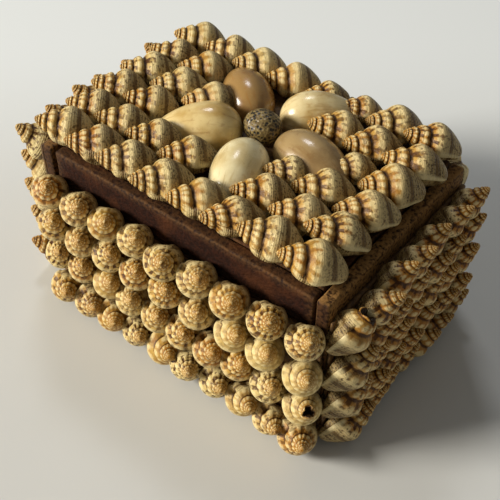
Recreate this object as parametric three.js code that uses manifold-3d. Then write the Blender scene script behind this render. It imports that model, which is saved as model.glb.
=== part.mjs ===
// Shell box: a small board box with a lift-off lid, covered with whelk shells,
// and a flower of five cowries round a netted shell on the lid.
// Millimetres, +Z up. The origin is the middle of the underside, the front faces -Y.
import * as THREE from 'three';
import { mergeVertices } from 'three/addons/utils/BufferGeometryUtils.js';
import Module from 'manifold-3d';

const wasm = await Module();
wasm.setup();

// Driving dimensions
const WIDTH = 100;
const DEPTH = 66;
const HEIGHT = 55;
const BOARD = 3.8;
const GAP = 0.3;
const LIP_HEIGHT = 11;
const LID_SLACK_LEFT = 1.6;
const LID_SLACK_RIGHT = 0.6;
const BOARD_CORNER = 2.6;

// Whelk: distances along the axis run from the siphon end to the apex
const WHELK = { length: 18.2, radius: 5.5, widest: 9, tail: 2, spire: 13.4, spireRadius: 3.5 };
const CUT_MARGIN = 0.35;

// Wall shells, from the top row down: heights of the siphon ends, shells in each row, room left
// at the left and right ends, the lean of the axis (left seen from outside, out, up) and its
// scatter, how stout and how big the shells are, and the sides of their solids
const BED = 1.1;
const RIGHT_BED_TOP = 49.5;
const TAIL_STANDOFF = 0.9;
const EVEN = [0.05, 0.05, 0.05];
const UNEVEN = [0.1, 0.1, 0.1];
const UPRIGHT = { lean: [-0.5, 0.5, 0.7], foot: [-0.6, 0.52, 0.5], loose: EVEN, girth: 0.9, size: 1 };
const SMALL = { lean: [-0.3, 0.52, 0.66], foot: [-0.5, 0.45, 0.5], loose: UNEVEN, girth: 0.9, size: 0.86 };
const STOUT = { lean: [-0.5, 0.42, 0.7], foot: [-0.7, 0.42, 0.4], loose: EVEN, girth: 0.97, size: 1 };
const FRONT_ROWS = {
  ...UPRIGHT, heights: [39.5, 26.8, 14.2, 1.8], counts: [9, 9, 10, 10], room: [3, 7.2], sides: 6, seed: 100,
};
const RIGHT_ROWS = {
  ...SMALL, heights: [44, 34, 24, 14, 3], counts: [6, 6, 6, 6, 6], room: [10, 10], sides: 5, seed: 320,
};
const CORNER_ROWS = {
  ...STOUT, heights: [40.5, 27.5, 14.5, 3], counts: [1, 1, 1, 1], room: [-1, DEPTH], sides: 6, seed: 300,
};
const BACK_ROWS = {
  ...UPRIGHT, heights: [40, 30.5, 21, 11.5, 1.8], counts: [9, 8, 8, 8, 9], room: [3, 9], sides: 5, seed: 500,
};
const LEFT_ROWS = {
  ...UPRIGHT, heights: [44.5, 34, 23.5, 12.5, 1.8], counts: [6, 5, 5, 5, 6], room: [3, 9],
  sides: 5, seed: 700,
};

// Lid shells: rows from front to back, columns from right to left
const LID_ROWS = 6;
const LID_COLUMNS = 8;
const LID_ROW_PITCH = 11.5;
const LID_COLUMN_PITCH = 12.1;
const LID_FIRST = { x: 41.2, y: -28.2 };
const LID_LEAN = [-0.72, -0.6, 0.27];
const LID_BODY_RISE = 6.2;
const LID_GIRTH = 1.04;
const LID_LOOSE = [0.2, 0.2, 0.07];
const LID_JITTER = { x: 0.8, y: 0.3 };
const LID_SIDES = 7;
const LID_SEED = 900;
const CROWDED = { room: 1.6, size: 0.82 };

// Flower: petals round the netted shell, each with its angle, twist and size
const FLOWER = { x: 0.3, y: 5.2, radius: 18.4 };
const PETAL_ANGLES = [-5, 65, 142, 211, 287];
const PETAL_TWISTS = [-5, -22, 0, 6, 2];
const PETAL_SIZES = [1, 0.9, 0.95, 1, 0.95];
const COWRIE = { length: 25.5, width: 16, height: 12, narrowing: -0.16 };
const FLOWER_ROOM = { along: 12, across: 8, middle: 11 };
const NETTED = { diameter: 11, height: 12 };

const finishes = {
  board: { color: 0x2e1c14, roughness: 0.9, metalness: 0 },
  whelk: { color: 0xc9a874, roughness: 0.55, metalness: 0 },
  cowrie: { color: 0xcdb488, roughness: 0.22, metalness: 0 },
  netted: { color: 0x55503f, roughness: 0.5, metalness: 0 },
};

// A repeatable number from -1 to 1 for each key
function scatter(key) {
  const wave = Math.sin(key * 12.9898) * 43758.5453;
  return 2 * (wave - Math.floor(wave)) - 1;
}

// A closed geometry becomes a solid, with its shared corners merged
function solidOf(geometry) {
  const bare = geometry.clone();
  bare.deleteAttribute('normal');
  bare.deleteAttribute('uv');
  const merged = mergeVertices(bare, 1e-4);
  const index = merged.index.array;
  const triangles = [];
  for (let i = 0; i < index.length; i += 3) {
    const [a, b, c] = [index[i], index[i + 1], index[i + 2]];
    if (a !== b && b !== c && c !== a) triangles.push(a, b, c);
  }
  const mesh = new wasm.Mesh({
    numProp: 3,
    vertProperties: new Float32Array(merged.attributes.position.array),
    triVerts: new Uint32Array(triangles),
  });
  return new wasm.Manifold(mesh);
}

// A solid becomes a flat-shaded geometry
function geometryOf(solid) {
  const mesh = solid.getMesh();
  const geometry = new THREE.BufferGeometry();
  geometry.setAttribute('position', new THREE.BufferAttribute(mesh.vertProperties, 3));
  geometry.setIndex(new THREE.BufferAttribute(mesh.triVerts, 1));
  geometry.computeVertexNormals();
  return geometry;
}

// The biggest separate body of a solid that a cut may have split
function biggestBody(solid) {
  const bodies = solid.decompose();
  return bodies.reduce((best, body) => (body.volume() > best.volume() ? body : best));
}

function named(name, geometry, finish) {
  const mesh = new THREE.Mesh(geometry, new THREE.MeshStandardMaterial(finishes[finish]));
  mesh.name = name;
  return mesh;
}

// A board given by its low and high corners
function board(name, low, high) {
  const size = high.map((value, i) => value - low[i]);
  const mesh = named(name, new THREE.BoxGeometry(...size), 'board');
  mesh.position.set(...low.map((value, i) => value + size[i] / 2));
  return mesh;
}

// A side board with its outer back corner rounded in plan
function sideBoard(name, side) {
  const inner = side * (WIDTH / 2 - BOARD);
  const outer = side * (WIDTH / 2);
  const back = DEPTH / 2;
  const plan = new THREE.Shape();
  plan.moveTo(inner, -back);
  plan.lineTo(outer, -back);
  plan.lineTo(outer, back - BOARD_CORNER);
  plan.quadraticCurveTo(outer, back, outer - side * BOARD_CORNER, back);
  plan.lineTo(inner, back);
  plan.closePath();
  const geometry = new THREE.ExtrudeGeometry(plan, { depth: HEIGHT, bevelEnabled: false, curveSegments: 4 });
  return named(name, geometry, 'board');
}

// A low-sided whelk along +Y, grown on every side by a margin
function whelkGeometry(sides, scale, girth, margin = 0) {
  const { length, radius, widest, tail, spire, spireRadius } = WHELK;
  const profile = [
    [0, -margin],
    [girth * tail + margin, -margin],
    [girth * radius + margin, widest],
    [girth * spireRadius + margin, spire],
    [0, length + margin],
  ];
  const geometry = new THREE.LatheGeometry(profile.map(([r, s]) => new THREE.Vector2(r, s)), sides);
  return geometry.scale(scale, scale, scale);
}

// Turns +Y to the axis and moves the siphon end to the tail point
function aimed(geometry, tail, axis) {
  const turn = new THREE.Quaternion().setFromUnitVectors(new THREE.Vector3(0, 1, 0), axis);
  return geometry.clone().applyQuaternion(turn).translate(tail.x, tail.y, tail.z);
}

// The axis with a little scatter, so that no two shells lie quite alike
function leaning(lean, key, amount) {
  const axis = new THREE.Vector3(...lean);
  axis.x += amount[0] * scatter(key + 0.1);
  axis.y += amount[1] * scatter(key + 0.2);
  axis.z += amount[2] * scatter(key + 0.3);
  return axis.normalize();
}

// The room in front of one wall, mitred at both corners and clear of the table
function mitreWedge(span) {
  const reach = 24;
  const half = span / 2 - GAP;
  const plan = new THREE.Shape();
  plan.moveTo(-half, GAP);
  plan.lineTo(half, GAP);
  plan.lineTo(half + reach, reach + GAP);
  plan.lineTo(-half - reach, reach + GAP);
  plan.closePath();
  const wedge = new THREE.ExtrudeGeometry(plan, { depth: HEIGHT + 30, bevelEnabled: false });
  return wedge.translate(0, 0, GAP);
}

// The glue bed behind a wall's shells
function wallBed(span, top) {
  const bed = new THREE.BoxGeometry(span - 2 * GAP, BED, top - GAP);
  bed.translate(0, GAP + BED / 2, (top + GAP) / 2);
  return solidOf(bed);
}

// Rows of shells on their bed: x runs to the left seen from outside, y out, z up
function wallField(bed, span, rows) {
  let field = bed;
  rows.heights.forEach((height, row) => {
    const foot = row === rows.heights.length - 1;
    const lean = foot ? rows.foot : rows.lean;
    const pitch = (span - rows.room[0] - rows.room[1]) / Math.max(rows.counts[row] - 1, 1);
    for (let column = 0; column < rows.counts[row]; column += 1) {
      const key = rows.seed + 20 * row + column;
      const along = span / 2 - rows.room[0] - column * pitch + 0.6 * scatter(key + 0.4);
      const lift = foot ? 0 : 0.6 * scatter(key + 0.5);
      const tail = new THREE.Vector3(along, GAP + TAIL_STANDOFF, height + lift);
      const size = rows.size * (1 + 0.05 * scatter(key + 0.6));
      const shell = whelkGeometry(rows.sides, size, rows.girth);
      field = field.add(solidOf(aimed(shell, tail, leaning(lean, key, rows.loose))));
    }
  });
  return field.intersect(solidOf(mitreWedge(span)));
}

function wallMesh(name, field, turn, x, y) {
  const mesh = named(name, geometryOf(field), 'whelk');
  mesh.rotation.z = turn;
  mesh.position.set(x, y, 0);
  return mesh;
}

// A cowrie or round shell: an egg cut flat underneath, long axis along +X
function domeSolid(length, width, height, narrowing, margin, segments) {
  const egg = new THREE.SphereGeometry(1, segments, Math.round(segments * 0.6));
  egg.rotateX(Math.PI / 2);
  const position = egg.attributes.position;
  for (let i = 0; i < position.count; i += 1) {
    const x = position.getX(i);
    const slim = 1 - narrowing * x;
    position.setX(i, x * (length / 2 + margin));
    position.setY(i, position.getY(i) * slim * (width / 2 + margin));
    position.setZ(i, position.getZ(i) * (height * 0.62 + margin));
  }
  egg.translate(0, 0, height * 0.38);
  const below = new THREE.BoxGeometry(4 * length, 4 * length, length);
  below.translate(0, 0, -length / 2 + GAP);
  return solidOf(egg).subtract(solidOf(below));
}

function placedSolid(solid, x, y, z, turn) {
  const geometry = geometryOf(solid);
  return solidOf(geometry.rotateZ(turn).translate(x, y, z));
}

const box = new THREE.Group();
const lid = new THREE.Group();
box.add(lid);

// Boards of the box
const inside = WIDTH / 2 - BOARD - GAP;
const front = -DEPTH / 2;
const back = DEPTH / 2;
const ledge = HEIGHT - LIP_HEIGHT - GAP;
const shelf = HEIGHT - BOARD - GAP;
box.add(board('base_board', [-inside, front + BOARD + GAP, 0], [inside, back - BOARD - GAP, BOARD]));
box.add(board('front_board', [-inside, front, 0], [inside, front + BOARD, ledge]));
box.add(board('back_board', [-inside, back - BOARD, 0], [inside, back, shelf]));
box.add(sideBoard('left_board', -1));
box.add(sideBoard('right_board', 1));

// Lid board and the bare lip under its front edge
const lidLeft = -WIDTH / 2 + BOARD + LID_SLACK_LEFT;
const lidRight = WIDTH / 2 - BOARD - LID_SLACK_RIGHT;
lid.add(board('lid_board', [lidLeft, front + BOARD + GAP, HEIGHT - BOARD], [lidRight, back, HEIGHT]));
lid.add(board('lid_front_lip', [lidLeft, front, ledge + GAP], [lidRight, front + BOARD, HEIGHT]));

// Shells on the four walls
const quarter = Math.PI / 2;
const frontField = wallField(wallBed(WIDTH, ledge), WIDTH, FRONT_ROWS);
const rightField = wallField(wallBed(DEPTH, RIGHT_BED_TOP), DEPTH, RIGHT_ROWS);
const cornerField = wallField(rightField, DEPTH, CORNER_ROWS);
const backField = wallField(wallBed(WIDTH, shelf - 1), WIDTH, BACK_ROWS);
const leftField = wallField(wallBed(DEPTH, HEIGHT - 1), DEPTH, LEFT_ROWS);
box.add(wallMesh('front_shells', frontField, Math.PI, 0, front));
box.add(wallMesh('right_shells', cornerField, -quarter, WIDTH / 2, 0));
box.add(wallMesh('back_shells', backField, 0, 0, back));
box.add(wallMesh('left_shells', leftField, quarter, -WIDTH / 2, 0));

// Flower on the lid
const cutters = [];
const degree = Math.PI / 180;
const petals = PETAL_ANGLES.map((angle, petal) => ({
  x: FLOWER.x + FLOWER.radius * Math.cos(angle * degree),
  y: FLOWER.y + FLOWER.radius * Math.sin(angle * degree),
  turn: (angle + PETAL_TWISTS[petal]) * degree,
  size: PETAL_SIZES[petal],
}));
petals.forEach(({ x, y, turn, size }, petal) => {
  const { height, narrowing } = COWRIE;
  const length = size * COWRIE.length;
  const width = size * COWRIE.width;
  const solid = placedSolid(domeSolid(length, width, height, narrowing, 0, 12), x, y, HEIGHT, turn);
  const grown = domeSolid(length, width, height, narrowing, CUT_MARGIN, 12);
  cutters.push({ x, y, solid: placedSolid(grown, x, y, HEIGHT, turn) });
  lid.add(named(`petal_cowrie_${petal + 1}`, geometryOf(solid), 'cowrie'));
});
const netted = domeSolid(NETTED.diameter, NETTED.diameter, NETTED.height, 0, 0, 10);
lid.add(named('netted_shell', geometryOf(placedSolid(netted, FLOWER.x, FLOWER.y, HEIGHT, 0)), 'netted'));

// Whelks lying on the lid, left out where the flower stands and smaller beside it
function flowerRoom(x, y) {
  const rooms = petals.map((petal) => {
    const dx = (x - petal.x) / petal.size;
    const dy = (y - petal.y) / petal.size;
    const along = dx * Math.cos(petal.turn) + dy * Math.sin(petal.turn);
    const across = dy * Math.cos(petal.turn) - dx * Math.sin(petal.turn);
    return (along / FLOWER_ROOM.along) ** 2 + (across / FLOWER_ROOM.across) ** 2;
  });
  const middle = Math.hypot(x - FLOWER.x, y - FLOWER.y) / FLOWER_ROOM.middle;
  return Math.min(...rooms, middle ** 2);
}

for (let row = 0; row < LID_ROWS; row += 1) {
  for (let column = 0; column < LID_COLUMNS; column += 1) {
    const key = LID_SEED + 20 * row + column;
    const x = LID_FIRST.x - LID_COLUMN_PITCH * column + LID_JITTER.x * scatter(key + 0.4);
    const y = LID_FIRST.y + LID_ROW_PITCH * row + LID_JITTER.y * scatter(key + 0.5);
    const room = flowerRoom(x, y);
    if (room < 1) continue;
    const axis = leaning(LID_LEAN, key, LID_LOOSE);
    const middle = new THREE.Vector3(x, y, HEIGHT + LID_BODY_RISE);
    const scale = (room < CROWDED.room ? CROWDED.size : 1) * (1 + 0.03 * scatter(key + 0.6));
    const tail = middle.addScaledVector(axis, -scale * WHELK.widest);
    let solid = solidOf(aimed(whelkGeometry(LID_SIDES, scale, LID_GIRTH), tail, axis));
    for (const cutter of cutters) {
      if (Math.hypot(cutter.x - x, cutter.y - y) < 30) solid = solid.subtract(cutter.solid);
    }
    const grown = whelkGeometry(LID_SIDES, scale, LID_GIRTH, CUT_MARGIN);
    cutters.push({ x, y, solid: solidOf(aimed(grown, tail, axis)) });
    lid.add(named(`lid_whelk_${row + 1}_${column + 1}`, geometryOf(biggestBody(solid)), 'whelk'));
  }
}

export default box;
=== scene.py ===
# Shell box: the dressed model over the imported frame. The front faces -Y and +Z is up.
# Lengths are millimetres until a mesh is made, but the table and the lights are given in metres.
import math

import bmesh
import bpy
import numpy as np
from mathutils import Matrix, Vector, noise


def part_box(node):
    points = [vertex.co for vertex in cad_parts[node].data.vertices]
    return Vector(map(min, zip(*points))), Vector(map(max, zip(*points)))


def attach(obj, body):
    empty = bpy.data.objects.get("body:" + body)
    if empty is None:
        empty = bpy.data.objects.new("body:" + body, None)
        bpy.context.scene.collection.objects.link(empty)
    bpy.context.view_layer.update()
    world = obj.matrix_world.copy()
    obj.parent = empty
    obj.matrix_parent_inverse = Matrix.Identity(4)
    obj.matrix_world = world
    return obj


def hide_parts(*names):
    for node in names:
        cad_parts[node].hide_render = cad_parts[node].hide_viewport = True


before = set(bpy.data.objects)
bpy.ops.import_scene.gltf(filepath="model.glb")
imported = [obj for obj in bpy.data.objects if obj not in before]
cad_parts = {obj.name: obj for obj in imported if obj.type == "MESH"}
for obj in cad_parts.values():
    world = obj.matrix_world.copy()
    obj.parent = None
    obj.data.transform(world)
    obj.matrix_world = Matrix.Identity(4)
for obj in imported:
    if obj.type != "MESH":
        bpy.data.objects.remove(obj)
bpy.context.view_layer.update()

MM = 0.001
TAU = 2 * math.pi

# Boards of the box, and the small gap between solids that touch
WIDTH = 100.0
DEPTH = 66.0
HEIGHT = 55.0
GAP = 0.3
BOARDS = (
    "base_board", "front_board", "back_board", "left_board", "right_board", "lid_board", "lid_front_lip",
)
BOARD_EDGE = {"rounding": 0.7, "lumps": 0.18}
EDGE_WEAR = 0.3
EDGE_WEAR_REACH = 1.6
# Wear share of each board; the right board's is raised and is also painted light on its shaded top
BOARD_WEAR_AND_LIGHT = {"right_board": 0.9, "left_board": 0.5}

# Glue beds: thickness, and the rounding and lumps of their edges
BED = 1.1
BED_EDGE = {"rounding": 0.4, "lumps": 0.5}
LID_BED = 2.4
LID_BED_INSET = 4.0
LID_BED_EDGE = {"rounding": 0.8, "lumps": 1.2}

# Boards and beds: spacing of the cuts, the length of edge that is cut, and the scale of the lumps
SLAB_CELL = 2.5
LONG_EDGE = 5.0
LUMP_SCALE = 0.21

# Whelk: length and girth, where the last seam and the widest part lie, from the apex, and how far
# the siphon stands off its wall
WHELK_LENGTH = 18.2
WHELK_RADIUS = 5.6
WIDEST = 9.0
LAST_SEAM = 7.6
TAIL_STANDOFF = 0.9

# Lip and mouth of a whelk, in shares of a turn and of the radius
LIP = {"turn": 0.03, "width": 0.05, "rise": 0.04}
MOUTH = {"turn": 0.86, "width": 0.05, "depth": 0.3}

# Rings of points on a whelk: the first two from the apex, and the last one from the siphon
TIP_RING = 0.2
SPIRE_RING = 0.5
END_RING = 0.25

# Points on a whelk: columns for each rib, rings on the spire and rings on the last whorl
FINE = {"columns": 6, "spire": 29, "body": 15}
COARSE = {"columns": 4, "spire": 19, "body": 11}

# Wall shells from the top row down, placed as in the solids. The hidden walls' shells are stouter here,
# which closes the gaps between them.
EVEN = (0.05, 0.05, 0.05)
UNEVEN = (0.1, 0.1, 0.1)
# Shells on the right wall and at the corner get a share of painted shade, as that side lies in shade; the
# other walls get none
UPRIGHT = dict(lean=(-0.5, 0.5, 0.7), foot=(-0.6, 0.52, 0.5), loose=EVEN, girth=0.9, size=1.0, painted_shade=0.0)
WIDE = dict(UPRIGHT, girth=1.02)
SLANTED = dict(UPRIGHT, lean=(-0.3, 0.52, 0.66), foot=(-0.5, 0.45, 0.5), loose=UNEVEN, size=0.86, painted_shade=0.9)
CORNER = dict(UPRIGHT, lean=(-0.5, 0.42, 0.7), foot=(-0.7, 0.42, 0.4), girth=0.97, painted_shade=0.6)
WALLS = {
    "front": dict(
        UPRIGHT, heights=(39.5, 26.8, 14.2, 1.8), counts=(9, 9, 10, 10), room=(3, 7.2),
        span=WIDTH, turn=180, at=(0, -DEPTH / 2), seed=100, bed_top=43.7, grid=FINE,
    ),
    "right": dict(
        SLANTED, heights=(44, 34, 24, 14, 3), counts=(6, 6, 6, 6, 6), room=(10, 10),
        span=DEPTH, turn=-90, at=(WIDTH / 2, 0), seed=320, bed_top=49.5, grid=FINE,
    ),
    "corner": dict(
        CORNER, heights=(40.5, 27.5, 14.5, 3), counts=(1, 1, 1, 1), room=(-1, DEPTH),
        span=DEPTH, turn=-90, at=(WIDTH / 2, 0), seed=300, grid=FINE,
    ),
    "back": dict(
        WIDE, heights=(40, 30.5, 21, 11.5, 1.8), counts=(9, 8, 8, 8, 9), room=(3, 9),
        span=WIDTH, turn=0, at=(0, DEPTH / 2), seed=500, bed_top=49.9, grid=COARSE,
    ),
    "left": dict(
        WIDE, heights=(44.5, 34, 23.5, 12.5, 1.8), counts=(6, 5, 5, 5, 6), room=(3, 9),
        span=DEPTH, turn=90, at=(-WIDTH / 2, 0), seed=700, bed_top=54, grid=COARSE,
    ),
}

# How far the wall shells stray from their rows, how much their sizes vary, and the keys kept for each row
WALL_JITTER = 0.6
WALL_SIZES = 0.05
ROW_KEYS = 20

# Lid shells: rows from front to back, columns from right to left
LID_ROWS = 6
LID_COLUMNS = 8
LID_ROW_PITCH = 11.5
LID_COLUMN_PITCH = 12.1
LID_FIRST = (41.2, -28.2)
LID_LEAN = (-0.72, -0.6, 0.27)
LID_BODY_RISE = 6.2
LID_GIRTH = 1.04
# Painted shade share of the lid shells, from the left edge to the right edge, darkening the right side,
# which lies in shade
LID_PAINTED_SHADE = (0.1, 0.5)
LID_LOOSE = (0.2, 0.2, 0.07)
LID_JITTER = (0.8, 0.3)
LID_SIZES = 0.03
CROWDED = {"room": 1.6, "size": 0.82}
LID_SEED = 900

# Smooth shells: their share, and the keys of those that are smooth in the photo
PLAIN_SHARE = 0.18
PLAIN = (128, 300)

# Keys of the shells with a broken tip, and how much of it is lost
BROKEN = {149: 1.8, 300: 3.4}

# Colours of the whelks, among them a painted highlight for the knobs and painted shade for the hollows,
# the seams and the inside of a broken tip
WHELK_TONES = {
    "ground": "caa24e",
    "cloud": "a06c24",
    "amber": "aa6a18",
    "pale": "dcc684",
    "tip": "b07a26",
    "knob_highlight": "f0dca0",
    "hollow_shade": "60380a",
    "speck": "54300a",
    "seam": "462a0c",
    "stroke": "4a2600",
    "lower": "7c6034",
    "net": "3e2a10",
    "lip": "e8d6a0",
    "inside": "3c2812",
}

# Flower of five cowries round a netted shell
FLOWER = (0.3, 5.2)
FLOWER_RADIUS = 18.4
PETAL_ANGLES = (-5, 65, 142, 211, 287)
PETAL_TWISTS = (-5, -22, 0, 6, 2)
PETAL_SIZES = (1.0, 0.9, 0.95, 1.0, 0.95)
PETAL_POINTS = (0.1, 0.18, 0.1, 0.34, 0.12)
PETAL_TONES = (
    ("ac9060", "8a6e44", "845c2a"),
    ("ead6a0", "c6a868", "a6762e"),
    ("a4804a", "846032", "a06820"),
    ("ecd292", "c8a45c", "9c6a26"),
    ("f4e6b6", "d8c28a", "ae8c4a"),
)
COWRIE = {"length": 25.5, "width": 16.0, "height": 12.0}
FLOWER_ROOM = {"along": 12.0, "across": 8.0, "middle": 11.0}
NETTED = {"diameter": 11.2, "height": 12.0}

# Cells of the bake map for a row of wall shells and of lid shells, and the margin in a cell
WALL_ATLAS = (4, 3)
LID_ATLAS = (3, 3)
BAKE_MARGIN = 0.02

# The camera, fitted to the box's corners: focal length in pixels of a 500 pixel image
IMAGE_SIZE = 500
SENSOR_WIDTH = 36
FOCAL_PIXELS = 882.6
AZIMUTH = math.radians(38.41)
ELEVATION = math.radians(45.01)
TARGET = (4.68, -5.96, 25.0)
DISTANCE = 264.2

# The table: half its side in metres, and where painted light turns it brighter, going away from the camera
FLOOR_HALF = 1.5
PAINTED_FLOOR_LIGHT = (0.0, 150.0)

# Lights: places and sizes in metres, power in watts
WINDOW = dict(place=(-1.7, -1.75, 1.15), size=0.8, power=99.0, tint="fffaf2")
SKYLIGHT = dict(place=(-0.95, 0.95, 1.8), size=0.4, power=8.0, tint="f6f9ff")
LIT_SPOT = (0, 0, 0.03)
ROOM_LIGHT = {"tint": "f2f2f0", "strength": 0.17}


def srgb(text):
    """A hex colour as linear red, green, blue and alpha."""
    parts = [int(text[i:i + 2], 16) / 255 for i in (0, 2, 4)]
    linear = [p / 12.92 if p <= 0.04045 else ((p + 0.055) / 1.055) ** 2.4 for p in parts]
    return (*linear, 1.0)


def scatter(key):
    """A repeatable number from -1 to 1 for each key, the same as in the solids."""
    wave = math.sin(key * 12.9898) * 43758.5453
    return 2 * (wave - math.floor(wave)) - 1


def smooth(value, low, high):
    """0 below low, 1 above high, with an even curve between."""
    t = np.clip((value - low) / (high - low), 0, 1)
    return t * t * (3 - 2 * t)


def ridge(value, middle, width):
    """1 at the middle, falling off alike to both sides."""
    return np.exp(-((value - middle) / width) ** 2)


def unit(vector):
    """The vector at length 1."""
    vector = np.asarray(vector, float)
    return vector / np.linalg.norm(vector)


class Shader:
    """A material's node tree, with short calls for its common nodes."""

    def __init__(self, name):
        self.material = bpy.data.materials.new(name)
        self.material.use_nodes = True
        self.tree = self.material.node_tree
        self.tree.nodes.clear()
        self.surface = self.add("ShaderNodeBsdfPrincipled")
        output = self.add("ShaderNodeOutputMaterial")
        self.tree.links.new(self.surface.outputs["BSDF"], output.inputs["Surface"])

    def add(self, kind, **settings):
        node = self.tree.nodes.new(kind)
        for key, value in settings.items():
            setattr(node, key, value)
        return node

    def put(self, socket, value):
        if isinstance(value, bpy.types.NodeSocket):
            self.tree.links.new(value, socket)
        else:
            socket.default_value = value

    def set(self, name, value):
        self.put(self.surface.inputs[name], value)

    def math(self, operation, *values):
        node = self.add("ShaderNodeMath", operation=operation)
        for socket, value in zip(node.inputs, values):
            self.put(socket, value)
        return node.outputs[0]

    def between(self, value, low, high):
        """0 at low and 1 at high, with an even curve. Low may be above high."""
        node = self.add("ShaderNodeMapRange", interpolation_type="SMOOTHSTEP")
        self.put(node.inputs["Value"], value)
        node.inputs["From Min"].default_value = min(low, high)
        node.inputs["From Max"].default_value = max(low, high)
        node.inputs["To Min"].default_value = 0.0 if low < high else 1.0
        node.inputs["To Max"].default_value = 1.0 if low < high else 0.0
        return node.outputs["Result"]

    def mix(self, amount, first, second):
        node = self.add("ShaderNodeMix", data_type="RGBA")
        self.put(node.inputs[0], amount)
        self.put(node.inputs[6], first)
        self.put(node.inputs[7], second)
        return node.outputs[2]

    def place(self):
        """The point on the surface, in millimetres."""
        spot = self.add("ShaderNodeTexCoord").outputs["Object"]
        node = self.add("ShaderNodeVectorMath", operation="SCALE")
        self.put(node.inputs[0], spot)
        node.inputs["Scale"].default_value = 1 / MM
        return node.outputs[0]

    def noise(self, vector, scale, detail=3.0):
        node = self.add("ShaderNodeTexNoise")
        self.put(node.inputs["Vector"], vector)
        node.inputs["Scale"].default_value = scale
        node.inputs["Detail"].default_value = detail
        return node.outputs["Fac"]

    def cells(self, vector, scale):
        node = self.add("ShaderNodeTexVoronoi", feature="F1")
        self.put(node.inputs["Vector"], vector)
        node.inputs["Scale"].default_value = scale
        return node.outputs["Distance"]

    def value(self, name, output="Fac"):
        return self.add("ShaderNodeAttribute", attribute_name=name).outputs[output]

    def bump(self, height, depth):
        """A bump of that depth in millimetres for a height from 0 to 1."""
        node = self.add("ShaderNodeBump")
        node.inputs["Strength"].default_value = 1.0
        node.inputs["Distance"].default_value = depth * MM
        self.put(node.inputs["Height"], height)
        self.set("Normal", node.outputs["Normal"])


def whelk_strokes(s, coil, phase, rib, along, clouds, spot):
    """Dark strokes between the knobs, on both sides of a seam and in the middle of a whorl."""
    uneven = s.math("ADD", phase, s.math("MULTIPLY", s.math("SUBTRACT", clouds, 0.5), 0.8))
    after_seam = s.between(uneven, 0.36, 0.26)
    before_seam = s.math("MULTIPLY", s.between(phase, 0.8, 0.9), 0.6)
    near_seam = s.math("MAXIMUM", after_seam, before_seam)
    dash = s.math("MULTIPLY", s.between(rib, 0.8, 0.6), near_seam)
    dash = s.math("MULTIPLY", dash, s.between(along, 0.16, 0.26))
    dash = s.math("MULTIPLY", dash, s.between(coil, 0.62, 0.45))
    dash = s.math("MULTIPLY", dash, s.between(s.noise(spot, 0.5, 2.0), 0.3, 0.5))
    middle_row = s.math("MULTIPLY", s.between(phase, 0.4, 0.47), s.between(phase, 0.58, 0.51))
    middle_row = s.math("MULTIPLY", middle_row, s.between(rib, 0.7, 0.45))
    middle_row = s.math("MULTIPLY", middle_row, s.between(coil, 0.0, 0.2))
    return s.math("MAXIMUM", dash, s.math("MULTIPLY", middle_row, 0.75))


def whelk_net(s, turn, coil, grain, spot):
    """Staggered rows of small dots that drift a little, for the lower whorl."""
    drift = s.math("SUBTRACT", s.noise(spot, 0.7, 2.0), 0.5)
    net_rows = s.math("ADD", s.math("MULTIPLY", coil, 8.0), s.math("MULTIPLY", drift, 2.0))
    in_row = s.math("ABSOLUTE", s.math("SUBTRACT", s.math("FRACT", net_rows), 0.5))
    step = s.math("MULTIPLY", s.math("FLOOR", net_rows), 0.5)
    beat = s.math("ADD", s.math("MULTIPLY", turn, 30.0), step)
    beat = s.math("ADD", beat, s.math("MULTIPLY", drift, 5.0))
    in_beat = s.math("ABSOLUTE", s.math("SUBTRACT", s.math("FRACT", beat), 0.5))
    dots = s.math("MULTIPLY", s.between(in_row, 0.42, 0.25), s.between(in_beat, 0.36, 0.2))
    return s.math("MULTIPLY", dots, s.between(grain, 0.36, 0.52))


def whelk_cords(s, coil, phase):
    """Height of the fine cords on the lower whorl, less the groove along the middle of the upper ones."""
    cords = s.math("MULTIPLY", s.math("SINE", s.math("MULTIPLY", coil, 9 * TAU)), 0.5)
    cords = s.math("MULTIPLY", cords, s.between(coil, 0.4, 0.9))
    groove = s.between(s.math("ABSOLUTE", s.math("SUBTRACT", phase, 0.42)), 0.1, 0.03)
    groove = s.math("MULTIPLY", groove, s.between(coil, 0.9, 0.5))
    groove = s.math("MULTIPLY", groove, 0.5)
    return s.math("SUBTRACT", s.math("MULTIPLY", cords, 0.6), groove)


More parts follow.
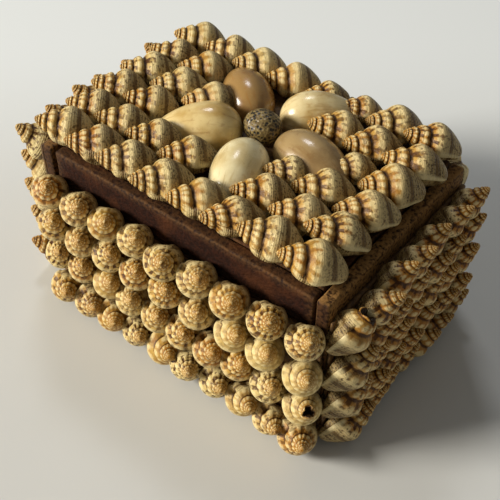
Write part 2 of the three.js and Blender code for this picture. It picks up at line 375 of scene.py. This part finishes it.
def whelk_material():
    """Golden shell with painted highlights on the knobs, painted shade in the hollows and along the seams,
    dark strokes beside the seams and a netted lower whorl.
    """
    s = Shader("whelk_shell")
    tones = {name: srgb(text) for name, text in WHELK_TONES.items()}
    split = s.add("ShaderNodeSeparateXYZ")
    s.put(split.inputs[0], s.add("ShaderNodeUVMap", uv_map="coil").outputs["UV"])
    turn = split.outputs["X"]
    coil = split.outputs["Y"]
    tints = s.add("ShaderNodeSeparateColor")
    s.put(tints.inputs[0], s.value("kind", "Color"))
    marks = tints.outputs["Red"]
    amber = tints.outputs["Green"]
    pale = tints.outputs["Blue"]
    net = s.value("kind", "Alpha")
    along = s.value("along")
    relief = s.value("relief")
    rib = s.value("rib")
    spot = s.place()
    clouds = s.noise(spot, 0.28, 4.0)
    grain = s.noise(spot, 1.6, 3.0)
    wander = s.math("SUBTRACT", grain, 0.5)

    # Ground colour, amber towards the tip, with painted shade browning the hollows and a painted highlight
    # on the knobs
    colour = s.mix(s.between(clouds, 0.35, 0.7), tones["ground"], tones["cloud"])
    # Painted shade: the amber and pale shares also carry a shell's share of painted shade, making it more
    # amber and less pale
    colour = s.mix(s.math("MULTIPLY", amber, 0.75), colour, tones["amber"])
    colour = s.mix(s.math("MULTIPLY", pale, 0.7), colour, tones["pale"])
    tip = s.math("MULTIPLY", s.between(along, 0.3, 0.1), 0.7)
    colour = s.mix(tip, colour, tones["tip"])
    height = s.math("ADD", relief, s.math("MULTIPLY", wander, 0.35))
    # Painted highlight on the knobs
    knob_highlight = s.math("MULTIPLY", s.between(height, 0.7, 1.0), 0.75)
    colour = s.mix(knob_highlight, colour, tones["knob_highlight"])
    # Painted shade where the surface lies low, in the hollows
    hollow_shade = s.math("MULTIPLY", s.between(height, 0.6, 0.15), 0.7)
    colour = s.mix(hollow_shade, colour, tones["hollow_shade"])
    specks = s.math("MULTIPLY", s.between(s.noise(spot, 0.8, 2.5), 0.57, 0.63), marks)
    colour = s.mix(s.math("MULTIPLY", specks, 0.75), colour, tones["speck"])

    # Painted shade along the seam line, and dark strokes between the knobs
    phase = s.math("FRACT", s.math("ADD", coil, s.math("MULTIPLY", wander, 0.06)))
    seam = s.math("MAXIMUM", s.between(phase, 0.14, 0.06), s.between(phase, 0.91, 0.97))
    seam = s.math("MULTIPLY", seam, s.between(along, 0.02, 0.1))
    colour = s.mix(s.math("MULTIPLY", seam, 0.85), colour, tones["seam"])
    strokes = whelk_strokes(s, coil, phase, rib, along, clouds, spot)
    colour = s.mix(s.math("MULTIPLY", strokes, marks), colour, tones["stroke"])

    # Fine netting on the lower whorl, heavier on shells with more painted shade
    lower = s.between(s.math("ADD", coil, s.math("MULTIPLY", wander, 0.3)), 0.5, 0.9)
    lower = s.math("MULTIPLY", lower, net)
    colour = s.mix(s.math("MULTIPLY", lower, 0.65), colour, tones["lower"])
    dots = s.math("MULTIPLY", whelk_net(s, turn, coil, grain, spot), lower)
    colour = s.mix(s.math("MULTIPLY", dots, 0.85), colour, tones["net"])

    # Smooth pale lip, and painted shade inside a broken tip
    lip = s.math("MULTIPLY", s.between(turn, 0.06, 0.02), s.between(along, 0.46, 0.54))
    colour = s.mix(s.math("MULTIPLY", lip, 0.8), colour, tones["lip"])
    colour = s.mix(s.between(relief, -0.2, -0.6), colour, tones["inside"])
    s.set("Base Color", colour)

    s.set("Roughness", s.math("ADD", 0.26, s.math("MULTIPLY", clouds, 0.28)))
    s.set("Specular IOR Level", 0.25)
    s.bump(s.math("ADD", whelk_cords(s, coil, phase), s.noise(spot, 2.4, 4.0)), 0.16)
    return s.material


def cowrie_material(name, light, dark, warm):
    """Smooth polished cowrie with soft clouds of a second tone."""
    s = Shader(name)
    spot = s.place()
    clouds = s.noise(spot, 0.11, 5.0)
    flecks = s.noise(spot, 0.55, 5.0)
    colour = s.mix(s.between(clouds, 0.38, 0.66), srgb(light), srgb(dark))
    colour = s.mix(s.math("MULTIPLY", s.between(flecks, 0.55, 0.72), 0.35), colour, srgb(warm))
    lengthwise = s.add("ShaderNodeVectorMath", operation="MULTIPLY")
    s.put(lengthwise.inputs[0], s.add("ShaderNodeUVMap", uv_map="OFBake").outputs["UV"])
    lengthwise.inputs[1].default_value = (26.0, 3.0, 0.0)
    streaks = s.noise(lengthwise.outputs[0], 1.0, 4.0)
    colour = s.mix(s.math("MULTIPLY", s.between(streaks, 0.54, 0.68), 0.4), colour, srgb(warm))
    flank = s.between(s.value("rise"), 0.42, 0.08)
    colour = s.mix(s.math("MULTIPLY", flank, 0.5), colour, srgb(warm))
    s.set("Base Color", colour)
    s.set("Roughness", s.math("ADD", 0.16, s.math("MULTIPLY", flecks, 0.2)))
    s.set("Coat Weight", 0.25)
    s.set("Coat Roughness", 0.12)
    s.bump(s.noise(spot, 0.35, 3.0), 0.1)
    return s.material


def netted_material():
    """Grey shell under a close net of dark spots."""
    s = Shader("netted_shell_speckle")
    spot = s.place()
    cells = s.cells(spot, 0.95)
    fine = s.noise(spot, 1.8, 3.0)
    colour = s.mix(s.between(fine, 0.35, 0.65), srgb("94804e"), srgb("665230"))
    colour = s.mix(s.between(cells, 0.52, 0.3), colour, srgb("211d16"))
    s.set("Base Color", colour)
    s.set("Roughness", s.math("ADD", 0.3, s.math("MULTIPLY", fine, 0.2)))
    s.bump(cells, 0.25)
    return s.material


def board_material():
    """Dark stained fibre board, worn redder and lighter in patches, and paler where worn, which on the
    right board is also painted light.
    """
    s = Shader("dark_board_stain")
    spot = s.place()
    patches = s.noise(spot, 0.09, 5.0)
    fibres = s.noise(spot, 1.1, 6.0)
    colour = s.mix(s.between(fibres, 0.35, 0.7), srgb("241006"), srgb("381a0a"))
    colour = s.mix(s.math("MULTIPLY", s.between(patches, 0.5, 0.72), 0.6), colour, srgb("5e3416"))
    worn_and_lit = s.math("MULTIPLY", s.value("edge"), s.between(fibres, 0.3, 0.6))
    # Paler where worn, and on the right board also painted light
    colour = s.mix(s.math("MULTIPLY", worn_and_lit, 0.75), colour, srgb("b88a4e"))
    s.set("Base Color", colour)
    s.set("Roughness", s.math("ADD", 0.62, s.math("MULTIPLY", fibres, 0.3)))
    s.set("Specular IOR Level", 0.2)
    s.bump(fibres, 0.35)
    return s.material


def bed_material():
    """Brown glue and grit in the gaps between the shells."""
    s = Shader("glue_bed")
    spot = s.place()
    lumps = s.noise(spot, 0.6, 5.0)
    colour = s.mix(s.between(lumps, 0.35, 0.7), srgb("463018"), srgb("7c5c30"))
    s.set("Base Color", colour)
    s.set("Roughness", s.math("ADD", 0.55, s.math("MULTIPLY", lumps, 0.3)))
    s.bump(lumps, 0.5)
    return s.material


def floor_material():
    """Pale table, with painted light making it brighter towards the back of the picture."""
    s = Shader("pale_table")
    spot = s.place()
    depth = s.add("ShaderNodeVectorMath", operation="DOT_PRODUCT")
    s.put(depth.inputs[0], spot)
    depth.inputs[1].default_value = (-math.sin(AZIMUTH), math.cos(AZIMUTH), 0.0)
    colour = s.mix(s.noise(spot, 0.02, 3.0), srgb("d6d6d0"), srgb("dcdcd6"))
    # Painted light: paler towards the back
    colour = s.mix(s.between(depth.outputs["Value"], *PAINTED_FLOOR_LIGHT), colour, srgb("f2f5f2"))
    s.set("Base Color", colour)
    s.set("Roughness", 0.55)
    return s.material


class Piece:
    """Collects shells as grids of points, then makes one object of them."""

    def __init__(self):
        self.points = []
        self.values = {"along": [], "relief": [], "rib": [], "kind": []}
        self.faces = {3: [], 4: []}
        self.maps = {3: [], 4: []}
        self.count = 0

    def add(self, points, faces, maps, values):
        self.points.append(points)
        for key in self.values:
            self.values[key].append(values[key])
        for sides in (3, 4):
            self.faces[sides].append(faces[sides] + self.count)
            self.maps[sides].append(maps[sides])
        self.count += len(points)

    def build(self, name, material, atlas):
        """One smooth mesh object, each shell in its own cell of the bake map."""
        columns, rows = atlas
        coil = []
        bake = []
        for sides in (4, 3):
            for index, corners in enumerate(self.maps[sides]):
                coil.append(corners[..., :2].reshape(-1, 2))
                cell = np.array([index % columns, index // columns])
                inner = BAKE_MARGIN + (1 - 2 * BAKE_MARGIN) * corners[..., 2:].reshape(-1, 2)
                bake.append((cell + inner) / (columns, rows))
        quads = np.concatenate(self.faces[4])
        fans = np.concatenate(self.faces[3])
        mesh = mesh_of(name, np.concatenate(self.points), quads, fans)
        set_map(mesh, "coil", np.concatenate(coil))
        set_map(mesh, "OFBake", np.concatenate(bake))
        for key in ("along", "relief", "rib"):
            set_value(mesh, key, np.concatenate(self.values[key]))
        kind = mesh.attributes.new("kind", "FLOAT_COLOR", "POINT")
        kind.data.foreach_set("color", np.concatenate(self.values["kind"]).astype(np.float32).ravel())
        return object_of(mesh, material)


def mesh_of(name, points, quads, fans):
    """A mesh from points in millimetres, four-sided faces and three-sided faces."""
    mesh = bpy.data.meshes.new(name)
    corners = np.concatenate([quads.ravel(), fans.ravel()]).astype(np.int32)
    sizes = np.concatenate([np.full(len(quads), 4), np.full(len(fans), 3)]).astype(np.int32)
    mesh.vertices.add(len(points))
    mesh.vertices.foreach_set("co", (points * MM).astype(np.float32).ravel())
    mesh.loops.add(len(corners))
    mesh.loops.foreach_set("vertex_index", corners)
    mesh.polygons.add(len(sizes))
    mesh.polygons.foreach_set("loop_start", (np.cumsum(sizes) - sizes).astype(np.int32))
    mesh.polygons.foreach_set("use_smooth", np.ones(len(sizes), bool))
    mesh.update(calc_edges=True)
    return mesh


def set_map(mesh, name, corners):
    """A UV map with one pair of values for each face corner."""
    layer = mesh.uv_layers.new(name=name)
    layer.uv.foreach_set("vector", corners.astype(np.float32).ravel())


def set_value(mesh, name, values):
    """A named value on each point, for the materials."""
    attribute = mesh.attributes.new(name, "FLOAT", "POINT")
    attribute.data.foreach_set("value", values.astype(np.float32))


def object_of(mesh, material):
    """An object in the scene with that mesh and material."""
    mesh.materials.append(material)
    thing = bpy.data.objects.new(mesh.name, mesh)
    bpy.context.scene.collection.objects.link(thing)
    return thing


def grid_faces(rings, columns):
    """Faces of a closed grid of rings, with one point at each end, and each corner's ring and column."""
    ring, column = np.meshgrid(np.arange(rings - 1), np.arange(columns), indexing="ij")
    ring = ring.ravel()[:, None] + np.array([0, 1, 1, 0])
    column = column.ravel()[:, None] + np.array([0, 0, 1, 1])
    quads = ring * columns + column % columns
    start = np.arange(columns)
    after = (start + 1) % columns
    last = (rings - 1) * columns
    top = np.stack([np.full(columns, rings * columns), start, after], 1)
    foot = np.stack([np.full(columns, rings * columns + 1), last + after, last + start], 1)
    fan_column = np.concatenate([
        np.stack([start + 0.5, start, start + 1.0], 1),
        np.stack([start + 0.5, start + 1.0, start], 1),
    ])
    fan_ring = np.concatenate([np.zeros((columns, 3)), np.full((columns, 3), rings - 1.0)])
    faces = {4: quads, 3: np.concatenate([top, foot])}
    return faces, {4: (ring, column), 3: (fan_ring, fan_column)}


def whelk_style(key, painted_shade):
    """The proportions and tints of one whelk, darkened by its share of painted shade: more amber and
    netting, less pale.
    """
    rng = np.random.default_rng(key)
    plain = rng.random() < PLAIN_SHARE or key in PLAIN
    return {
        "ribs": int(rng.integers(10, 14)),
        "rib_depth": 0.015 if plain else rng.uniform(0.08, 0.13),
        "rib_reach": rng.uniform(0.45, 0.7),
        "bulge": rng.uniform(0.32, 0.4),
        "growth": rng.uniform(1.75, 2.0),
        "girth": rng.uniform(0.97, 1.05),
        "shift": rng.random(),
        "roll": rng.uniform(-0.35, 0.35),
        "marks": rng.uniform(0.15, 0.45) if plain else rng.uniform(0.65, 1.0),
        "amber": max(painted_shade, rng.random() ** 2.2),
        "pale": (1 - painted_shade) * rng.random() ** 2.0,
        "net": min(0.4 + 0.6 * rng.random() + 0.5 * painted_shade, 1.0),
        "broken": BROKEN.get(key, 0.0),
    }


def whelk_outline(share):
    """The girth at each share of the length: a slim spire, then a round base to the siphon."""
    sharpness = 14
    spire = (share / 0.5) ** 0.76
    base = 1.06 - 0.8 * np.clip((share - 0.4) / 0.6, 0, 1) ** 1.8
    outline = -np.log(np.exp(-sharpness * spire) + np.exp(-sharpness * base)) / sharpness
    blunt_tip = 0.04 * (1 - smooth(share, 0, 0.2))
    round_end = np.sqrt(1 - 0.9 * np.clip((share - 0.92) / 0.08, 0, 1) ** 2)
    return np.maximum(outline + blunt_tip, 0.03) * round_end


def broken_tip(style, d, phi, radius, height, relief):
    """The same surface with its tip lost, as a jagged hole."""
    edge = style["broken"] + 0.5 * np.sin(3 * TAU * phi + 9 * style["shift"])
    depth = np.clip(1 - d / edge, 0, 1)
    lost = depth > 0
    rim = np.take_along_axis(radius, np.argmin(np.abs(d - edge), 0)[None, :], 0)
    radius = np.where(lost, rim * 0.86 * np.sqrt(d / edge), radius)
    height = np.where(lost, WHELK_LENGTH - edge - 2.2 * depth, height)
    relief = np.where(lost, -1.0, relief)
    return radius, height, relief


def coil_at(distance, turn, growth):
    """The coil coordinate at a distance from the apex, whole on every seam and 0 on the last one."""
    return np.log(distance / LAST_SEAM) / math.log(growth) + turn


def whelk(style, girth, grid):
    """A coiled whelk: x towards the lip, y away from the board, z from the siphon to the apex."""
    columns = style["ribs"] * grid["columns"]
    distance = np.concatenate([
        [TIP_RING],
        np.geomspace(SPIRE_RING, LAST_SEAM, grid["spire"]),
        np.linspace(LAST_SEAM, WHELK_LENGTH - END_RING, grid["body"] + 1)[1:],
    ])
    rings = len(distance)
    faces, corners = grid_faces(rings, columns)
    turn = np.arange(columns) / columns
    d = distance[:, None]
    phi = turn[None, :]
    share = d / WHELK_LENGTH
    coil = coil_at(d, phi, style["growth"])
    phase = coil - np.floor(coil)
    body = coil > 0

    # Rounded whorls, with knobs between narrow hollows that fade out on the last whorl
    round_up = 1 - np.abs(2 * np.where(body, np.minimum(coil, 0.5), phase) - 1) ** 3.0
    shift = style["shift"] + 0.37 * np.floor(np.minimum(coil, 0.0))
    uneven = 0.012 * np.sin(TAU * (2 * phi + shift)) + 0.007 * np.sin(TAU * (5 * phi + 2 * shift))
    beat = style["ribs"] * (phi + uneven) + shift + 0.25 * phase
    rib = 1 - np.abs(2 * (beat - np.floor(beat)) - 1) ** 2.2
    reach = style["rib_reach"]
    rib_room = np.where(body, 1 - smooth(coil, reach - 0.25, reach), 1) * np.sqrt(round_up)
    radius = 1 + style["bulge"] * (round_up - 0.85)
    radius = radius - style["rib_depth"] * (1 - rib) * rib_room
    radius = radius * whelk_outline(share) * WHELK_RADIUS * style["girth"] * girth

    # The last whorl widens up to a thick lip, with a hollow for the mouth on the board side
    lower = smooth(share, 0.36, 0.52) * (1 - smooth(share, 0.86, 1.0))
    radius = radius * (1 + lower * (0.07 * (1 - phi) - 0.04))
    radius = radius * (1 + LIP["rise"] * lower * ridge(phi, LIP["turn"], LIP["width"]))
    radius = radius * (1 - MOUTH["depth"] * lower * ridge(phi, MOUTH["turn"], MOUTH["width"]))
    height = np.broadcast_to(WHELK_LENGTH - d, radius.shape).copy()
    relief = round_up * (1 - 0.35 * (1 - rib) * rib_room)
    if style["broken"]:
        radius, height, relief = broken_tip(style, d, phi, radius, height, relief)

    # The points, with the siphon bent a little to the lip
    bend = 0.9 * smooth(share, 0.75, 1.0)
    x = radius * np.cos(TAU * phi) + bend
    y = radius * np.sin(TAU * phi)
    surface = np.stack([x, y, height], -1).reshape(-1, 3)
    top = height[0].min() if style["broken"] else WHELK_LENGTH
    apex = np.append(surface[:columns].mean(0)[:2], top)
    siphon = np.append(surface[-columns:].mean(0)[:2], 0.0)
    points = np.concatenate([surface, [apex, siphon]])

    def value(grid_values):
        flat = np.broadcast_to(grid_values, radius.shape).ravel()
        return np.append(flat, [flat[0], flat[-1]])

    maps = {}
    for sides, (ring, column) in corners.items():
        around = column / columns
        spiral = coil_at(distance[ring.astype(int)], around, style["growth"])
        maps[sides] = np.stack([around, spiral, around, ring / (rings - 1)], -1)
    kind = np.tile([style[name] for name in ("marks", "amber", "pale", "net")], (len(points), 1))
    values = {"along": value(share), "relief": value(relief), "rib": value(rib), "kind": kind}
    return points, faces, maps, values


def lay(points, tail, axis, board, size, roll):
    """Turns a shell to its axis with the mouth to the board, and moves its siphon to the tail point."""
    up = -np.asarray(board, float)
    up = unit(up - np.dot(up, axis) * axis)
    lip = np.cross(up, axis)
    turned_lip = math.cos(roll) * lip + math.sin(roll) * up
    turned_up = np.cross(axis, turned_lip)
    basis = np.stack([turned_lip, turned_up, axis])
    return tail + size * points @ basis


def leaning(lean, key, amount):
    """The axis with the same scatter as in the solids."""
    return unit([lean[i] + amount[i] * scatter(key + (i + 1) / 10) for i in range(3)])


def wall_rows(name, wall, material):
    """A wall's shells, one object for each row."""
    angle = math.radians(wall["turn"])
    spin = np.array(Matrix.Rotation(-angle, 3, "Z"))
    away = np.array([*wall["at"], 0.0])
    rows = []
    for row, height in enumerate(wall["heights"]):
        foot = row == len(wall["heights"]) - 1
        count = wall["counts"][row]
        pitch = (wall["span"] - sum(wall["room"])) / max(count - 1, 1)
        piece = Piece()
        for column in range(count):
            key = wall["seed"] + ROW_KEYS * row + column
            along = wall["span"] / 2 - wall["room"][0] - column * pitch
            along = along + WALL_JITTER * scatter(key + 0.4)
            lift = 0 if foot else WALL_JITTER * scatter(key + 0.5)
            tail = np.array([along, GAP + TAIL_STANDOFF, height + lift])
            axis = leaning(wall["foot" if foot else "lean"], key, wall["loose"])
            # The wall's share of painted shade darkens its shells
            style = whelk_style(key, wall["painted_shade"])
            points, faces, maps, values = whelk(style, wall["girth"], wall["grid"])
            size = wall["size"] * (1 + WALL_SIZES * scatter(key + 0.6))
            points = lay(points, tail, axis, (0, -1, 0), size, style["roll"]) @ spin + away
            points[:, 2] = np.maximum(points[:, 2], GAP)
            piece.add(points, faces, maps, values)
        rows.append(piece.build(f"{name}_whelks_{row + 1}", material, WALL_ATLAS))
    return rows


def petal_places():
    """Middle, turn and size of each cowrie."""
    places = []
    for angle, twist, size in zip(PETAL_ANGLES, PETAL_TWISTS, PETAL_SIZES):
        bearing = math.radians(angle)
        x = FLOWER[0] + FLOWER_RADIUS * math.cos(bearing)
        y = FLOWER[1] + FLOWER_RADIUS * math.sin(bearing)
        places.append((x, y, math.radians(angle + twist), size))
    return places


def flower_room(x, y):
    """How clear of the flower a place is. Below 1 there is no room for a whelk."""
    rooms = [(math.hypot(x - FLOWER[0], y - FLOWER[1]) / FLOWER_ROOM["middle"]) ** 2]
    for middle_x, middle_y, turn, size in petal_places():
        dx = (x - middle_x) / size
        dy = (y - middle_y) / size
        along = dx * math.cos(turn) + dy * math.sin(turn)
        across = dy * math.cos(turn) - dx * math.sin(turn)
        rooms.append((along / FLOWER_ROOM["along"]) ** 2 + (across / FLOWER_ROOM["across"]) ** 2)
    return min(rooms)


def lid_row(row, material):
    """One row of whelks on the lid, and the CAD nodes that it stands for."""
    piece = Piece()
    for column in range(LID_COLUMNS):
        key = LID_SEED + ROW_KEYS * row + column
        x = LID_FIRST[0] - LID_COLUMN_PITCH * column + LID_JITTER[0] * scatter(key + 0.4)
        y = LID_FIRST[1] + LID_ROW_PITCH * row + LID_JITTER[1] * scatter(key + 0.5)
        room = flower_room(x, y)
        if room < 1:
            continue
        size = CROWDED["size"] if room < CROWDED["room"] else 1.0
        size = size * (1 + LID_SIZES * scatter(key + 0.6))
        axis = leaning(LID_LEAN, key, LID_LOOSE)
        tail = np.array([x, y, HEIGHT + LID_BODY_RISE]) - size * WIDEST * axis
        # Painted shade, growing towards the right edge of the lid
        style = whelk_style(key, np.interp(x, (-WIDTH / 2, WIDTH / 2), LID_PAINTED_SHADE))
        points, faces, maps, values = whelk(style, LID_GIRTH, FINE)
        points = lay(points, tail, axis, (0, 0, -1), size, style["roll"])
        piece.add(points, faces, maps, values)
    nodes = [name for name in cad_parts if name.startswith(f"lid_whelk_{row + 1}_")]
    return piece.build(f"lid_whelks_{row + 1}", material, LID_ATLAS), nodes


def lathe_piece(name, material, x, y, z):
    """A closed object from a grid of points whose rings run from one end to the other."""
    rings, columns = z.shape
    faces, corners = grid_faces(rings, columns)
    grid = np.stack([x, y, z], -1)
    ends = [grid[0].mean(0), grid[-1].mean(0)]
    points = np.concatenate([grid.reshape(-1, 3), ends])
    mesh = mesh_of(name, points, faces[4], faces[3])
    set_value(mesh, "rise", (points[:, 2] - z.min()) / (z.max() - z.min()))
    maps = []
    for sides in (4, 3):
        ring, column = corners[sides]
        maps.append(np.stack([column / columns, ring / (rings - 1)], -1).reshape(-1, 2))
    set_map(mesh, "OFBake", np.concatenate(maps))
    return object_of(mesh, material)


def cowrie(name, material, length, width, height, point, rings=40, columns=56):
    """An egg with a flat underside, its narrow end along +X by the point share."""
    polar = np.linspace(math.pi - 0.05, 0.05, rings)[:, None]
    around = TAU * np.arange(columns)[None, :] / columns
    along = np.cos(polar)
    side = np.sin(polar) * (1 - point * along - 0.35 * point * np.clip(along, 0, 1) ** 3)
    x = np.broadcast_to(along * length / 2, (rings, columns))
    y = side * np.cos(around) * width / 2
    z = np.maximum(height * (0.38 + 0.62 * side * np.sin(around)), GAP)
    return lathe_piece(name, material, x, y, z)


def turban(name, material, radius, height, rings=40, columns=64):
    """A round shell on a narrow foot, with a seam that coils in to its top."""
    polar = np.linspace(0.04, math.pi - 0.04, rings)[:, None]
    around = np.arange(columns)[None, :] / columns
    below = polar > math.pi / 2
    spread = np.where(below, np.sin(polar) ** 1.6, np.sin(polar))
    coil = 2.2 * np.log(np.minimum(polar, 1.5) / 1.5) + around
    seam = ridge(coil, np.round(coil), 0.09) * np.where(polar < 1.45, 1, 0)
    spread = spread * (1 - 0.05 * seam)
    x = radius * spread * np.cos(TAU * around)
    y = 0.9 * radius * spread * np.sin(TAU * around)
    middle = 0.64 * height
    z = middle + np.cos(polar) * np.where(below, middle - GAP, height - middle) * (1 - 0.03 * seam)
    return lathe_piece(name, material, x, y, z)


def slab(name, material, low, high, edge, seed, wear_and_light=0.0):
    """A board with rounded, uneven edges, worn paler by the wear share except on its front; for the right
    board that share is also painted light.
    """
    rounding = edge["rounding"]
    shape = bmesh.new()
    bmesh.ops.create_cube(shape, size=1.0)
    low = Vector(low)
    high = Vector(high)
    size = high - low
    for vertex in shape.verts:
        vertex.co = Vector([low[i] + (vertex.co[i] + 0.5) * size[i] for i in range(3)])
    bmesh.ops.bevel(shape, geom=shape.edges[:], offset=rounding, segments=3, profile=0.5, affect="EDGES")
    for axis in range(3):
        lengthy = [e for e in shape.edges if abs(e.verts[0].co[axis] - e.verts[1].co[axis]) > LONG_EDGE]
        cuts = max(int(size[axis] / SLAB_CELL), 1)
        bmesh.ops.subdivide_edges(shape, edges=lengthy, cuts=cuts, use_grid_fill=True)
    shape.normal_update()
    offset = Vector((seed * 3.1, seed * 1.7, seed * 0.9))
    edge_values = []
    moved = []
    for vertex in shape.verts:
        reach = sorted(min(vertex.co[i] - low[i], high[i] - vertex.co[i]) for i in range(3))
        facing_front = max(-vertex.normal.y, 0)
        near_edge = 1 - reach[1] / (EDGE_WEAR_REACH * rounding)
        # The wear share, on the right board also painted light, or wear near the edges
        edge_values.append(max(wear_and_light * (1 - facing_front), EDGE_WEAR * near_edge))
        lump = edge["lumps"] * noise.noise(vertex.co * LUMP_SCALE + offset)
        moved.append(vertex.co + vertex.normal * lump)
    for vertex, spot in zip(shape.verts, moved):
        spot.z = max(spot.z, low.z)
        vertex.co = spot * MM
    mesh = bpy.data.meshes.new(name)
    shape.to_mesh(mesh)
    shape.free()
    mesh.polygons.foreach_set("use_smooth", np.ones(len(mesh.polygons), bool))
    set_value(mesh, "edge", np.array(edge_values))
    return object_of(mesh, material)


def dress(piece, slot, *nodes):
    """The piece rides on the box and stands for its CAD nodes."""
    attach(piece, "root")
    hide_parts(*nodes)


def add_boards():
    """The boards of the box and the lid, each over its own solid."""
    material = board_material()
    for seed, node in enumerate(BOARDS):
        low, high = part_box(node)
        wear_and_light = BOARD_WEAR_AND_LIGHT.get(node, 0.0)
        piece = slab(f"worn_{node}", material, low / MM, high / MM, BOARD_EDGE, seed, wear_and_light)
        dress(piece, "dark_board", node)


def add_walls(shell_look, bed_look):
    """The shells of each wall, row by row, and the glue bed behind them."""
    for seed, (name, wall) in enumerate(WALLS.items()):
        node = "right_shells" if name == "corner" else f"{name}_shells"
        for piece in wall_rows(name, wall, shell_look):
            dress(piece, "whelk_shell", node)
        if name == "corner":
            continue
        half = wall["span"] / 2 - GAP
        low = (-half, GAP, GAP)
        high = (half, GAP + BED, wall["bed_top"])
        bed = slab(f"{name}_bed", bed_look, low, high, BED_EDGE, seed)
        turn = Matrix.Rotation(math.radians(wall["turn"]), 4, "Z")
        bed.data.transform(Matrix.Translation((wall["at"][0] * MM, wall["at"][1] * MM, 0)) @ turn)
        dress(bed, "whelk_shell", node)


def add_lid_shells(shell_look, bed_look):
    """The lid's low mound of glue and its rows of shells."""
    low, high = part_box("lid_board")
    first = (low.x / MM + LID_BED_INSET, low.y / MM + LID_BED_INSET, HEIGHT - GAP)
    last = (high.x / MM - LID_BED_INSET, high.y / MM - LID_BED_INSET, HEIGHT + LID_BED)
    mound = slab("lid_bed", bed_look, first, last, LID_BED_EDGE, LID_ROWS)
    dress(mound, "dark_board", "lid_board")
    for row in range(LID_ROWS):
        piece, nodes = lid_row(row, shell_look)
        dress(piece, "whelk_shell", *nodes)


def add_flower():
    """The five cowries, each in its own tones, and the netted shell between them."""
    for petal, (x, y, turn, size) in enumerate(petal_places()):
        material = cowrie_material(f"cowrie_{petal + 1}_gloss", *PETAL_TONES[petal])
        length = size * COWRIE["length"]
        width = size * COWRIE["width"]
        point = PETAL_POINTS[petal]
        piece = cowrie(f"cowrie_{petal + 1}", material, length, width, COWRIE["height"], point)
        place = Matrix.Translation((x * MM, y * MM, HEIGHT * MM)) @ Matrix.Rotation(turn, 4, "Z")
        piece.data.transform(place)
        dress(piece, "cowrie_gloss", f"petal_cowrie_{petal + 1}")
    middle = turban("netted_middle", netted_material(), NETTED["diameter"] / 2, NETTED["height"])
    middle.data.transform(Matrix.Translation((FLOWER[0] * MM, FLOWER[1] * MM, HEIGHT * MM)))
    dress(middle, "netted_shell", "netted_shell")


def add_floor():
    """The table, which is stage and not a part of the object."""
    half = FLOOR_HALF
    mesh = bpy.data.meshes.new("table_top")
    corners = [(-half, -half, 0), (half, -half, 0), (half, half, 0), (-half, half, 0)]
    mesh.from_pydata(corners, [], [(0, 1, 2, 3)])
    object_of(mesh, floor_material())


def add_camera():
    """The camera that took the photo, as fitted to the box's edges."""
    back = Vector((
        math.sin(AZIMUTH) * math.cos(ELEVATION),
        -math.cos(AZIMUTH) * math.cos(ELEVATION),
        math.sin(ELEVATION),
    ))
    right = Vector((math.cos(AZIMUTH), math.sin(AZIMUTH), 0))
    up = back.cross(right)
    lens = bpy.data.cameras.new("camera")
    lens.sensor_width = SENSOR_WIDTH
    lens.lens = FOCAL_PIXELS / IMAGE_SIZE * SENSOR_WIDTH
    lens.clip_start = 0.01
    camera = bpy.data.objects.new("camera", lens)
    eye = (Vector(TARGET) + back * DISTANCE) * MM
    camera.matrix_world = Matrix.Translation(eye) @ Matrix((right, up, back)).transposed().to_4x4()
    bpy.context.scene.collection.objects.link(camera)
    bpy.context.scene.camera = camera


def add_lamp(name, place, size, power, tint):
    """A square lamp turned to the box."""
    light = bpy.data.lights.new(name, "AREA")
    light.size = size
    light.energy = power
    light.color = srgb(tint)[:3]
    lamp = bpy.data.objects.new(name, light)
    lamp.location = place
    lamp.rotation_euler = (Vector(LIT_SPOT) - Vector(place)).to_track_quat("-Z", "Y").to_euler()
    bpy.context.scene.collection.objects.link(lamp)


def add_light():
    """A window on the left, a little light from behind and a dim room."""
    add_lamp("window", **WINDOW)
    add_lamp("skylight", **SKYLIGHT)
    world = bpy.data.worlds.new("room")
    world.use_nodes = True
    background = world.node_tree.nodes["Background"]
    background.inputs["Color"].default_value = srgb(ROOM_LIGHT["tint"])
    background.inputs["Strength"].default_value = ROOM_LIGHT["strength"]
    bpy.context.scene.world = world
    bpy.context.scene.view_settings.view_transform = "Standard"


whelk_look = whelk_material()
glue_look = bed_material()
add_boards()
add_walls(whelk_look, glue_look)
add_lid_shells(whelk_look, glue_look)
add_flower()
add_floor()
add_camera()
add_light()
